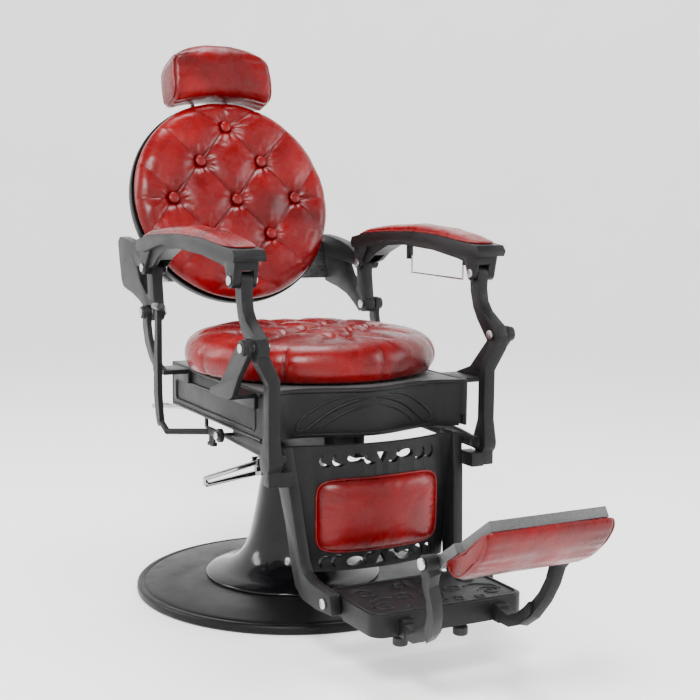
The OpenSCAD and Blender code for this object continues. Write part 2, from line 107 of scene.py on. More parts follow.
def leather(name, dark, mid, light, rough=0.30):
    m, nt, b = mat(name, mid, rough, 0.0, 0.05, 0.12, 0.24)
    cl = noise_tex(nt, 7, 4, 0.55, 0.4)
    cr = ramp(nt, cl.outputs["Fac"], [(0.28, dark), (0.50, mid), (0.74, light)])
    # Painted shade: a per-vertex mask mixes a near-black red into the base colour in pleats, seams, button pits and
    # surface dips.
    at = nt.nodes.new("ShaderNodeAttribute"); at.attribute_name = "painted_crease_shade"
    mx = nt.nodes.new("ShaderNodeMix"); mx.data_type = "RGBA"; mx.blend_type = "MIX"
    nt.links.new(at.outputs["Fac"], mx.inputs["Factor"])
    nt.links.new(cr.outputs["Color"], mx.inputs["A"])
    mx.inputs["B"].default_value = (dark[0] * 0.35, dark[1] * 0.4, dark[2] * 0.4, 1)
    nt.links.new(mx.outputs["Result"], b.inputs["Base Color"])
    n2 = noise_tex(nt, 30, 4, 0.6)
    rr = ramp(nt, n2.outputs["Fac"], [(0.3, grey(rough - 0.07)), (0.72, grey(rough + 0.13))])
    nt.links.new(rr.outputs["Color"], b.inputs["Roughness"])
    tc = nt.nodes.new("ShaderNodeTexCoord")
    vo = nt.nodes.new("ShaderNodeTexVoronoi"); vo.inputs["Scale"].default_value = 620; vo.feature = "DISTANCE_TO_EDGE"
    wob = noise_tex(nt, 200, 2, 0.5)
    vm = nt.nodes.new("ShaderNodeVectorMath"); vm.operation = "MULTIPLY_ADD"; vm.inputs[1].default_value = (0.0012,) * 3
    nt.links.new(wob.outputs["Color"], vm.inputs[0]); nt.links.new(tc.outputs["Object"], vm.inputs[2])
    nt.links.new(vm.outputs["Vector"], vo.inputs["Vector"])
    vr = ramp(nt, vo.outputs["Distance"], [(0.0, grey(0.0)), (0.16, grey(1.0))])
    b1 = bump(nt, b, vr.outputs["Color"], 0.16, 0.00035)
    wr = noise_tex(nt, 55, 5, 0.65, 1.4)
    b2 = bump(nt, b, wr.outputs["Fac"], 0.16, 0.0020, b1)
    fold = noise_tex(nt, 16, 3, 0.5, 1.0)
    bump(nt, b, fold.outputs["Fac"], 0.10, 0.006, b2)
    return m

M = {
    "disc_black": powder("disc_black", (0.0035, 0.0035, 0.004), (0.008, 0.008, 0.009), 0.38, 700, 0.10, 0.0, 0.14),
    "gloss_black": powder("gloss_black", (0.002, 0.002, 0.0025), (0.004, 0.004, 0.0045), 0.13, 60, 0.02, 0.0, 0.30),
    "cast_black": powder("cast_black", (0.0025, 0.0025, 0.003), (0.015, 0.015, 0.016), 0.34, 900, 0.8, 0.0, 0.17),
    "grey_coat": powder("grey_coat", (0.020, 0.020, 0.021), (0.16, 0.16, 0.165), 0.40, 1000, 0.6, 0.0, 0.25),
    "steel": metal("steel", (0.60, 0.60, 0.61), 0.28, (1, 1, 14)),
    "chrome": metal("chrome", (0.48, 0.49, 0.50), 0.09),
    "dark_bolt": metal("dark_bolt", (0.06, 0.06, 0.065), 0.35),
    "red_leather": leather("red_leather", (0.050, 0.0001, 0.0006), (0.125, 0.0002, 0.0013), (0.215, 0.0007, 0.0028), 0.25),
    "red_button": leather("red_button", (0.07, 0.0002, 0.0008), (0.14, 0.0003, 0.0015), (0.21, 0.0008, 0.0030), 0.26),
    "rubber": powder("rubber", (0.004, 0.004, 0.004), (0.010, 0.010, 0.010), 0.62, 500, 0.3),
    "black_knob": powder("black_knob", (0.006, 0.006, 0.007), (0.012, 0.012, 0.013), 0.24, 200, 0.05, 0.3),
}
def wood():
    m, nt, b = mat("plywood", (0.5, 0.35, 0.2), 0.55)
    n = noise_tex(nt, 40, 6, 0.6, 1.5, (1, 8, 1))
    r = ramp(nt, n.outputs["Fac"], [(0.3, (0.30, 0.18, 0.09)), (0.7, (0.55, 0.38, 0.21))])
    nt.links.new(r.outputs["Color"], b.inputs["Base Color"]); bump(nt, b, n.outputs["Fac"], 0.2, 0.0005)
    return m
M["plywood"] = wood()
SLOT = {s["node"]: s["material_slot"] for s in frame["record"]["subparts"]}

# ------------------------------------------------------------ helpers
def new_obj(name, verts, faces, body, slot, smooth=True, attr=None, sharp=None):
    me = bpy.data.meshes.new(name); me.from_pydata([tuple(map(float, v)) for v in verts], [], [tuple(int(i) for i in f) for f in faces])
    bm = bmesh.new(); bm.from_mesh(me); bmesh.ops.recalc_face_normals(bm, faces=bm.faces); bm.to_mesh(me); bm.free()
    me.update()
    if smooth: me.polygons.foreach_set("use_smooth", [True] * len(me.polygons))
    if sharp: me.set_sharp_from_angle(angle=math.radians(sharp))
    if attr is not None:
        # attr is the painted shade mask for creases and dips; the leather material reads it.
        a = me.attributes.new("painted_crease_shade", "FLOAT", "POINT"); a.data.foreach_set("value", np.clip(attr, 0, 1).astype(np.float32))
    o = bpy.data.objects.new(name, me); bpy.context.scene.collection.objects.link(o)
    me.materials.append(M[slot]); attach(o, body)
    return o

def bevelled(node, width=0.002, segs=2, angle=28, name=None, replace=True):
    """A copy of a machined or cast piece with eased edges."""
    src = NODES[node]; me = src.data.copy(); me.name = (name or node) + "_eased"
    bm = bmesh.new(); bm.from_mesh(me)
    bmesh.ops.remove_doubles(bm, verts=bm.verts, dist=1e-5)
    bmesh.ops.dissolve_limit(bm, angle_limit=math.radians(1.0), verts=bm.verts, edges=bm.edges)
    for f in bm.faces: f.smooth = True
    bm.to_mesh(me); bm.free()
    for a in [a.name for a in me.attributes if a.name == "custom_normal"]: me.attributes.remove(me.attributes[a])
    o = bpy.data.objects.new((name or node) + "_eased", me); bpy.context.scene.collection.objects.link(o)
    if width > 0:
        md = o.modifiers.new("b", "BEVEL"); md.width = width; md.segments = segs; md.limit_method = "ANGLE"
        md.angle_limit = math.radians(angle); md.use_clamp_overlap = True; md.miter_outer = "MITER_ARC"; md.harden_normals = False
        dg = bpy.context.evaluated_depsgraph_get(); ev = o.evaluated_get(dg)
        me2 = bpy.data.meshes.new_from_object(ev); o.modifiers.clear(); o.data = me2; me2.name = me.name
    m2 = o.data
    m2.polygons.foreach_set("use_smooth", [True] * len(m2.polygons)); m2.set_sharp_from_angle(angle=math.radians(32))
    m2.materials.clear(); m2.materials.append(M[SLOT[node]])
    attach(o, BODY[node])
    if replace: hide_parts(node)
    return o

def tube(name, pts, r, body, slot, seg=12, closed=False, caps=True):
    pts = [Vector(p) for p in pts]; n = len(pts); vs = []; prev = None
    rr = r if isinstance(r, (list, tuple)) else [r] * n
    for i, p in enumerate(pts):
        a = pts[(i - 1) % n] if (closed or i) else p; b = pts[(i + 1) % n] if (closed or i < n - 1) else p
        t = (b - a).normalized()
        if prev is None:
            u = t.orthogonal().normalized()
        else:
            u = (prev - t * prev.dot(t)).normalized()
        prev = u; w = t.cross(u)
        for k in range(seg):
            an = 2 * math.pi * k / seg
            vs.append(p + (u * math.cos(an) + w * math.sin(an)) * rr[i])
    fs = []
    m = n if closed else n - 1
    for i in range(m):
        for k in range(seg):
            a, b = i * seg + k, i * seg + (k + 1) % seg; c, d = ((i + 1) % n) * seg + (k + 1) % seg, ((i + 1) % n) * seg + k
            fs.append((a, b, c, d))
    if not closed and caps:
        fs.append(tuple(range(seg))[::-1]); fs.append(tuple((n - 1) * seg + k for k in range(seg)))
    return new_obj(name, vs, fs, body, slot, sharp=60)

def spline(ctrl, n=8):
    """Catmull-Rom through control points."""
    P = [Vector(c) for c in ctrl]; P = [2 * P[0] - P[1]] + P + [2 * P[-1] - P[-2]]; out = []
    for i in range(1, len(P) - 2):
        for k in range(n):
            t = k / n; a, b, c, d = P[i - 1], P[i], P[i + 1], P[i + 2]
            out.append(0.5 * ((2 * b) + (c - a) * t + (2 * a - 5 * b + 4 * c - d) * t * t + (3 * b - a - 3 * c + d) * t ** 3))
    out.append(P[-2]); return out

def grid_faces(nu, nv, wrap_u=False):
    f = []
    for i in range(nu if wrap_u else nu - 1):
        for j in range(nv - 1):
            a = i * nv + j; b = ((i + 1) % nu) * nv + j
            f.append((a, b, b + 1, a + 1))
    return f

BC = np.array([0, 0.335, 0.795]); YP = np.array([0, math.cos(LEAN), -math.sin(LEAN)]); ZP = np.array([0, math.sin(LEAN), math.cos(LEAN)])
def back_world(x, y, z):
    """Back frame: y along the back's rear normal, z up its slope (metres)."""
    x, y, z = np.broadcast_arrays(x, y, z)
    return BC + x[..., None] * np.array([1, 0, 0]) + y[..., None] * YP + z[..., None] * ZP

def seg_dist(u, v, a, b):
    ax, ay = a; bx, by = b; dx, dy = bx - ax, by - ay; L2 = dx * dx + dy * dy
    t = np.clip(((u - ax) * dx + (v - ay) * dy) / L2, 0, 1)
    return np.hypot(u - ax - t * dx, v - ay - t * dy), t

def noise_arr(P, scale, seed):
    return np.array([noise.noise(Vector((p[0] * scale + seed, p[1] * scale, p[2] * scale))) for p in P.reshape(-1, 3)]).reshape(P.shape[:-1])

def tufted(R, crown, edge, side, buttons, pleats, rim_pleats, nth=420, nr=120, pit=0.0125, back_h=-0.006):
    """Polar sheet of a buttoned round cushion: returns x, v, h arrays and the mask of painted shade in its creases."""
    th = np.linspace(0, 2 * np.pi, nth, endpoint=False)[:, None]
    s = np.linspace(0, 1, nr)[None, :]
    flat = 0.66
    r_in = R - edge
    fr = np.clip(s / flat, 0, 1)
    r = r_in * fr
    ph = np.clip((s - flat) / (1 - flat), 0, 1) * math.radians(178)
    hc = lambda rr: crown * (1 - 0.34 * (rr / R) ** 2.4)
    r = np.where(s > flat, r_in + edge * np.sin(np.minimum(ph, np.pi / 2)) ** 0.9 - edge * 0.55 * np.clip(np.sin(ph - np.pi / 2), 0, 1) * (ph > np.pi / 2), r)
    h = np.where(s > flat, hc(r_in) - side * (1 - np.cos(ph)) / 2, hc(r))
    u = r * np.cos(th); v = r * np.sin(th); h = h + 0 * u
    # cr is painted shade: darkest along the pleats and round the button pits.
    cr = np.zeros_like(u); dep = np.zeros_like(u)
    front = np.clip((h - (hc(r_in) - side * 0.75)) / (side * 0.5), 0, 1)
    for a, b in pleats:
        d, t = seg_dist(u, v, a, b)
        dep = np.maximum(dep, 0.0062 * np.exp(-(d / 0.022) ** 2) + 0.0030 * np.exp(-(d / 0.0035) ** 2))
        cr = np.maximum(cr, 0.55 * np.exp(-(d / 0.0022) ** 2))
    for a, b in rim_pleats:
        d, t = seg_dist(u, v, a, b)
        k = (1 - t) ** 0.6
        dep = np.maximum(dep, (0.0052 * np.exp(-(d / 0.018) ** 2) + 0.0030 * np.exp(-(d / 0.0035) ** 2)) * (0.25 + 0.75 * k))
        cr = np.maximum(cr, 0.45 * np.exp(-(d / 0.0022) ** 2) * (0.2 + 0.8 * k))
    for bx, by in buttons:
        d = np.hypot(u - bx, v - by)
        dep = dep + pit * np.exp(-(d / 0.0175) ** 2) + 0.006 * np.exp(-(d / 0.050) ** 2)
        cr = np.maximum(cr, 0.7 * np.exp(-(d / 0.0125) ** 4))
        an = np.arctan2(v - by, u - bx)
        dep = dep + 0.0011 * np.cos(an * 9 + bx * 50 + by * 30) * np.exp(-((d - 0.024) / 0.013) ** 2)
    h2 = h - dep * front
    return u, v, h2, cr * front, r, th, ph

def clean_polar(name, W, nth, nr, body, slot, attr):
    V = W.reshape(-1, 3); f = grid_faces(nth, nr, True)
    o = new_obj(name, V, f, body, slot, attr=attr.reshape(-1))
    bm = bmesh.new(); bm.from_mesh(o.data); bmesh.ops.remove_doubles(bm, verts=bm.verts, dist=1e-6)
    holes = [e for e in bm.edges if e.is_boundary]
    if holes: bmesh.ops.holes_fill(bm, edges=holes, sides=0)
    bmesh.ops.recalc_face_normals(bm, faces=bm.faces)
    for fc in bm.faces: fc.smooth = True
    bm.to_mesh(o.data); bm.free()
    return o

# ------------------------------------------------------------ back cushion
BB = [(0, .169), (-.073, .085), (.073, .085), (-.146, 0), (0, -.006), (.146, 0), (-.073, -.085), (.073, -.085), (0, -.169)]
PL = [((0, .169), (s * .073, .085)) for s in (-1, 1)] + [((s * .073, .085), (0, -.006)) for s in (-1, 1)] + \
     [((s * .073, .085), (s * .146, 0)) for s in (-1, 1)] + [((s * .146, 0), (s * .073, -.085)) for s in (-1, 1)] + \
     [((0, -.006), (s * .073, -.085)) for s in (-1, 1)] + [((s * .073, -.085), (0, -.169)) for s in (-1, 1)]
def rim(p, ang, R=0.232): return (p, (R * math.cos(math.radians(ang)), R * math.sin(math.radians(ang))))
RP = [rim((0, .169), 90), rim((0, .169), 68), rim((0, .169), 112), rim((.073, .085), 47), rim((-.073, .085), 133),
      rim((.146, 0), 22), rim((.146, 0), 0), rim((.146, 0), -22), rim((-.146, 0), 158), rim((-.146, 0), 180), rim((-.146, 0), 202),
      rim((.073, -.085), -47), rim((-.073, -.085), 227), rim((0, -.169), 270), rim((0, -.169), 248), rim((0, -.169), 292)]
nth, nr = 420, 120
u, v, h, cr, r, th, ph = tufted(0.2295, 0.052, 0.040, 0.056, BB, PL, RP, nth, nr)
P = np.stack([u, -h, v], -1)
nz = noise_arr(P, 26, 3.1); nz2 = noise_arr(P, 75, 8.3)
h = h + 0.0013 * nz + 0.0005 * nz2
W = back_world(u, -np.maximum(h, -0.0075), v)
# Painted shade: darker in pleats and button pits, and where the noise dents the leather in.
back_cushion = clean_polar("back_cushion_tufted", W, nth, nr, "back", "red_leather", cr + 0.10 * np.clip(-nz, 0, 1))
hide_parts("back_cushion")

# ------------------------------------------------------------ seat cushion
SB = [(0, 0), (-.073, .060), (.073, .060), (-.073, -.060), (.073, -.060), (0, .125), (0, -.125), (.146, 0), (-.146, 0)]
SP = [((0, .125), (s * .073, .060)) for s in (-1, 1)] + [((s * .073, .060), (0, 0)) for s in (-1, 1)] + \
     [((s * .073, .060), (s * .146, 0)) for s in (-1, 1)] + [((s * .146, 0), (s * .073, -.060)) for s in (-1, 1)] + \
     [((0, 0), (s * .073, -.060)) for s in (-1, 1)] + [((s * .073, -.060), (0, -.125)) for s in (-1, 1)]
SR = [rim(p, a, 0.215) for p, a in [((0, .125), 90), ((0, .125), 66), ((0, .125), 114), ((.073, .060), 42), ((-.073, .060), 138), ((.146, 0), 18), ((.146, 0), -18),
      ((-.146, 0), 162), ((-.146, 0), 198), ((.073, -.060), -42), ((-.073, -.060), 222), ((0, -.125), 270), ((0, -.125), 246), ((0, -.125), 294)]]
th = np.linspace(0, 2 * np.pi, nth, endpoint=False)[:, None]; s = np.linspace(0, 1, nr)[None, :]
def seat_profile(s):
    """Radius and height of the seat cushion's section from the centre over the edge to the underside."""
    k = np.array([[0, .0905], [.10, .0895], [.16, .0865], [.195, .082], [.222, .0745], [.2395, .063], [.2485, .049], [.2510, .036], [.2490, .022], [.2430, .011], [.2340, .0042], [.2200, .0032], [.2065, .0035]])
    d = np.r_[0, np.cumsum(np.hypot(np.diff(k[:, 0]), np.diff(k[:, 1])))]; d /= d[-1]
    pts = spline([(a, 0, b) for a, b in k], 12); q = np.array([(p.x, p.z) for p in pts])
    e = np.r_[0, np.cumsum(np.hypot(np.diff(q[:, 0]), np.diff(q[:, 1])))]; e /= e[-1]
    return np.interp(s, e, q[:, 0]), np.interp(s, e, q[:, 1])
r, h = seat_profile(s)
u = r * np.cos(th); v = r * np.sin(th); h = h + 0 * u; r = r + 0 * u
# cr is painted shade: darkest in the pleats, button pits and side seams.
front = np.clip((h - 0.045) / 0.03, 0, 1); dep = np.zeros_like(u); cr = np.zeros_like(u)
for a, b in SP:
    d, t = seg_dist(u, v, a, b); dep = np.maximum(dep, 0.0075 * np.exp(-(d / 0.019) ** 2) + 0.005 * np.exp(-(d / 0.0045) ** 2)); cr = np.maximum(cr, 0.75 * np.exp(-(d / 0.0028) ** 2))
for a, b in SR:
    d, t = seg_dist(u, v, a, b); k = (1 - t) ** 0.6
    dep = np.maximum(dep, (0.006 * np.exp(-(d / 0.018) ** 2) + 0.0045 * np.exp(-(d / 0.0045) ** 2)) * k); cr = np.maximum(cr, 0.6 * np.exp(-(d / 0.0026) ** 2) * k)
for bx, by in SB:
    d = np.hypot(u - bx, v - by); an = np.arctan2(v - by, u - bx)
    dep = dep + 0.012 * np.exp(-(d / 0.0175) ** 2) + 0.005 * np.exp(-(d / 0.045) ** 2) + 0.001 * np.cos(an * 9 + bx * 50) * np.exp(-((d - 0.024) / 0.013) ** 2)
    cr = np.maximum(cr, 0.6 * np.exp(-(d / 0.0125) ** 4))
h2 = h - dep * front
# vertical seams round the side
side = np.clip((0.078 - h) / 0.02, 0, 1) * (r > 0.21)
for k in range(8):
    a0 = math.radians(-82 + 45 * k) - math.pi / 2 + math.radians(0)
    da = (th - a0 + np.pi) % (2 * np.pi) - np.pi; d = np.abs(da) * r
    g = np.exp(-(d / 0.0022) ** 2) * side
    r = r - 0.0026 * g - 0.0022 * np.exp(-(d / 0.012) ** 2) * side; cr = np.maximum(cr, 0.7 * g)
welt = np.exp(-((h - 0.0085) / 0.0032) ** 2) * (r > 0.225)
r = r + 0.0016 * welt
u = r * np.cos(th); v = r * np.sin(th)
P = np.stack([u, v, h2], -1); nz = noise_arr(P, 24, 1.7); nz2 = noise_arr(P, 70, 5.3)
h2 = h2 + (0.0012 * nz + 0.0004 * nz2) * front
k = 1 + (0.0014 * nz * side) / 0.25
W = np.stack([u * k, v * k - 0.075, h2 + 0.470], -1)
# Painted shade in pleats, pits and seams, plus darker where the noise dents the top in.
seat_cushion = clean_polar("seat_cushion_tufted", W, nth, nr, "seat", "red_leather", cr * (front + side).clip(0, 1) + 0.10 * np.clip(-nz, 0, 1))
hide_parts("seat_cushion")

# covered buttons
def buttons(name, places, body, node):
    vs, fs = [], []
    for c, n in places:
        n = Vector(n).normalized(); a = n.orthogonal().normalized(); b = n.cross(a); c = Vector(c); o = len(vs); K, Rn = 28, 7
        for i in range(Rn + 1):
            f = i / Rn; rr = 0.0125 * math.sin(f * math.pi * 0.56) / math.sin(math.pi * 0.56) if f < 1 else 0.0120
            hh = 0.0062 * math.cos(f * math.pi * 0.5) ** 0.8 - (0.003 if f == 1 else 0)
            for k in range(K):
                an = 2 * math.pi * k / K; w = 1 + 0.012 * math.sin(an * 5 + c.x * 90)
                vs.append(c + (a * math.cos(an) + b * math.sin(an)) * rr * w + n * hh)
        for i in range(Rn):
            for k in range(K):
                fs.append((o + i * K + k, o + i * K + (k + 1) % K, o + (i + 1) * K + (k + 1) % K, o + (i + 1) * K + k))
        fs.append(tuple(o + Rn * K + k for k in range(K)))
    ob = new_obj(name, vs, fs, body, "red_button"); 
    bm = bmesh.new(); bm.from_mesh(ob.data); bmesh.ops.remove_doubles(bm, verts=bm.verts, dist=1e-6); bmesh.ops.recalc_face_normals(bm, faces=bm.faces); bm.to_mesh(ob.data); bm.free()
    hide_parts(node); return ob
def bh(x, z): return 0.052 * (1 - 0.34 * (math.hypot(x, z) / 0.2295) ** 2.4)
buttons("back_buttons_covered", [(back_world(np.array(x), np.array(-(bh(x, z) - 0.0165)), np.array(z)), tuple(-YP)) for x, z in BB], "back", "back_buttons")
def sh(x, y):
    rr = math.hypot(x, y); return float(np.interp(rr, [0, .10, .16], [.0905, .0895, .0865]))
buttons("seat_buttons_covered", [((x, y - 0.075, 0.470 + sh(x, y) - 0.0155), (0, 0, 1)) for x, y in SB], "seat", "seat_buttons")

# ------------------------------------------------------------ lofted pads
def closed_spline(poly, n):
    P = [Vector((a, b, 0)) for a, b in poly]; m = len(P); out = []
    for i in range(m):
        a, b, c, d = P[(i - 1) % m], P[i], P[(i + 1) % m], P[(i + 2) % m]
        for k in range(8):
            t = k / 8
            out.append(0.5 * ((2 * b) + (c - a) * t + (2 * a - 5 * b + 4 * c - d) * t * t + (3 * b - a - 3 * c + d) * t ** 3))
    q = np.array([(p.x, p.y) for p in out]); q = np.vstack([q, q[:1]])
    d = np.r_[0, np.cumsum(np.hypot(*np.diff(q, axis=0).T))]; s = np.linspace(0, d[-1], n, endpoint=False)
    return np.stack([np.interp(s, d, q[:, 0]), np.interp(s, d, q[:, 1])], -1)

def pillow(name, prof, hw, world, body, node, edge=0.014, bulge=0.0022, N=150, mx=90, seed=1.0, shape=None, gather=0.0010):
    """A stuffed block: one section drawn along x, with rounded shoulders and side panels set in by a seam."""
    q = closed_spline(prof, N); c = q.mean(0)
    xs = np.linspace(-(hw - edge), hw - edge, mx)
    rings = []
    ph = np.linspace(0, math.pi / 2, 9)[1:]
    left = [(-(hw - edge) - edge * math.sin(a), edge * (1 - math.cos(a)), 1.0) for a in ph]
    inner = [(k, 1 - k) for k in np.linspace(0.08, 1, 10)]
    def ring(x, inset, k):
        rad = np.hypot(*(q - c).T)[:, None]
        p = c + (q - c) * (1 - np.minimum(inset / np.maximum(rad, 1e-4), 0.8)) * k
        if abs(x) < hw - edge * 0.6:
            w = 1 - (abs(x) / hw) ** 3; n = (q - c) / np.maximum(rad, 1e-4); p = p + n * bulge * w
            g = math.exp(-((hw - abs(x)) / 0.045) ** 2)
            wav = np.sin(np.arange(N) / N * 2 * np.pi * 13 + seed) * np.sin(np.arange(N) / N * 2 * np.pi * 5 + 2 * seed)
            p = p + n * (gather * g * wav)[:, None]
        return np.c_[np.full(N, x), p]
    for k in np.linspace(0.04, 0.94, 8): rings.append(ring(-hw - 0.0030 * (1 - k ** 3), edge * 0.45, k))
    for x, i, k in left[::-1]: rings.append(ring(x, i * 0.55, k))
    for x in xs: rings.append(ring(x, 0, 1))
    for x, i, k in left: rings.append(ring(-x, i * 0.55, k))
    for k in np.linspace(0.94, 0.04, 8): rings.append(ring(hw + 0.0030 * (1 - k ** 3), edge * 0.45, k))
    R = np.array(rings)
    # seam valley where the side panel is sewn on
    d = np.abs(np.abs(R[..., 0]) - (hw - edge * 0.12)); g = np.exp(-(d / 0.0022) ** 2)
    R[..., 1:] = R[..., 1:] + (c - R[..., 1:]) * (0.0022 * g / 0.045)[..., None]
    nz = noise_arr(R, 24, seed); nz2 = noise_arr(R, 70, seed + 4)
    rad = R[..., 1:] - c; L = np.linalg.norm(rad, axis=-1, keepdims=True)
    R[..., 1:] = R[..., 1:] + rad / np.maximum(L, 1e-4) * (0.0013 * nz + 0.0004 * nz2)[..., None]
    if shape is not None: R = shape(R)
    n = len(R); W = world(R[..., 0], R[..., 1], R[..., 2])
    f = [(i * N + k, i * N + (k + 1) % N, (i + 1) * N + (k + 1) % N, (i + 1) * N + k) for i in range(n - 1) for k in range(N)]
    f += [tuple(range(N))[::-1], tuple((n - 1) * N + k for k in range(N))]
    # Painted shade: darker in the seam valley and where the noise dents the surface in.
    o = new_obj(name, W.reshape(-1, 3), f, body, "red_leather", attr=(0.8 * g + 0.08 * np.clip(-nz, 0, 1)).reshape(-1))
    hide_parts(node)
    # piping on both end seams
    for sgn, tag in ((-1, "r"), (1, "l")):
        i = int(np.argmin(np.abs(R[:, 0, 0] - sgn * (hw - edge * 0.12)))); S = R[i].copy()
        rv = S[:, 1:] - c; S[:, 1:] += rv / np.linalg.norm(rv, axis=-1, keepdims=True) * 0.0006
        pw = world(S[:, 0], S[:, 1], S[:, 2])
        t = tube(name + "_piping_" + tag, list(map(tuple, pw)), 0.0021, body, "red_leather", 10, closed=True)
        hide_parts(node)
    return o

HR = [(33, 262), (33, 306), (33, 350), (24, 364), (4, 369), (-24, 368), (-46, 358), (-56, 338), (-59, 318), (-58, 300), (-54, 268), (-40, 253), (-14, 250), (20, 252)]
def hr_shape(R):
    x = R[..., 0] / 0.118; z = R[..., 2]
    top = np.clip((z - 0.31) / 0.06, 0, 1); bot = np.clip((0.31 - z) / 0.06, 0, 1)
    ax = np.abs(x); R = R.copy(); R[..., 2] = z - 0.006 * top - 0.026 * top * ax ** 2.6 - bot * (0.006 + 0.020 * ax ** 2); R[..., 0] = R[..., 0] * (1 - 0.15 * np.clip((z - 0.285) / 0.085, 0, 1) ** 1.5)
    return R
pillow("headrest_cushion_stuffed", [(a / 1000, b / 1000) for a, b in HR], 0.118, lambda x, y, z: back_world(x, y, z), "headrest", "headrest_cushion", 0.015, 0.0025, seed=2.0, shape=hr_shape, gather=0.0016)

A34 = math.radians(-34); HF = np.array([0, -0.768, 0.266])
def pad_world(x, y, z):
    return np.stack([x + HF[0], HF[1] + y * math.cos(A34) - z * math.sin(A34), HF[2] + y * math.sin(A34) + z * math.cos(A34)], -1)
FP = [(-20, -9.6), (-60, -9.6), (-105, -9.6), (-148, -9.6), (-154, -15), (-146, -25), (-120, -37), (-98, -42), (-75, -45.5), (-42, -43), (-24, -32), (-18, -18)]
pillow("footpad_cushion_stuffed", [(a / 1000, b / 1000) for a, b in FP], 0.117, pad_world, "footpad", "footpad_cushion", 0.013, 0.0018, seed=5.0)

# calf pad: a curved panel with full, rounded edges
def calf():
    nth, nr = 260, 60
    th = np.linspace(0, 2 * np.pi, nth, endpoint=False)[:, None]; s = np.linspace(0, 1, nr)[None, :]
    c, sn = np.cos(th), np.sin(th); p = 7.0
    rad = (np.abs(c) ** p + np.abs(sn) ** p) ** (-1 / p)
    X, Z = 0.1255 * rad * c * s, 0.0665 * rad * sn * s
    yr = -(0.3804 - 0.0204 * (X / 0.124) ** 2); base = -(0.3995 - 0.0200 * (X / 0.124) ** 2)
    dome = (1 - s ** 5.0) ** 0.55; bul = (1 - np.abs(X / 0.126) ** 3) * (1 - np.abs(Z / 0.067) ** 2.4)
    P = np.stack([X, base, Z], -1); nz = noise_arr(P, 26, 6.6); nz2 = noise_arr(P, 80, 1.2)
    pull = np.sin(th * 21) * np.sin(th * 8 + 1) * np.clip((s - 0.7) / 0.3, 0, 1) * (1 - s)
    yf = yr + (base - yr) * dome - 0.0065 * bul - 0.0014 * nz * dome - 0.0004 * nz2 * dome - 0.006 * pull
    front = np.stack([X, yf, 0.2435 + Z], -1)
    # Painted shade in a ring where the pad folds down to its piped edge.
    cr = np.exp(-((s - 0.955) / 0.008) ** 2) * 0.7 + 0 * X
    back = np.stack([X, yr + 0 * X, 0.2435 + Z], -1)[:, ::-1][:, 1:]
    W = np.concatenate([front, back], 1); A = np.concatenate([cr, 0 * cr[:, 1:]], 1)
    o = clean_polar("calf_pad_stuffed", W, nth, W.shape[1], "legs", "red_leather", A)
    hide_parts("calf_pad")
    rim_pts = [(0.1262 * float(r) * math.cos(t), -(0.3835 - 0.0204 * (0.1262 * float(r) * math.cos(t) / 0.124) ** 2), 0.2435 + 0.0672 * float(r) * math.sin(t))
               for t, r in zip(np.linspace(0, 2 * np.pi, 200, endpoint=False), ((np.abs(np.cos(np.linspace(0, 2 * np.pi, 200, endpoint=False))) ** p + np.abs(np.sin(np.linspace(0, 2 * np.pi, 200, endpoint=False))) ** p) ** (-1 / p)))]
    t = tube("calf_pad_piping", rim_pts, 0.0021, "legs", "red_leather", 10, closed=True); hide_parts("calf_pad")
calf()

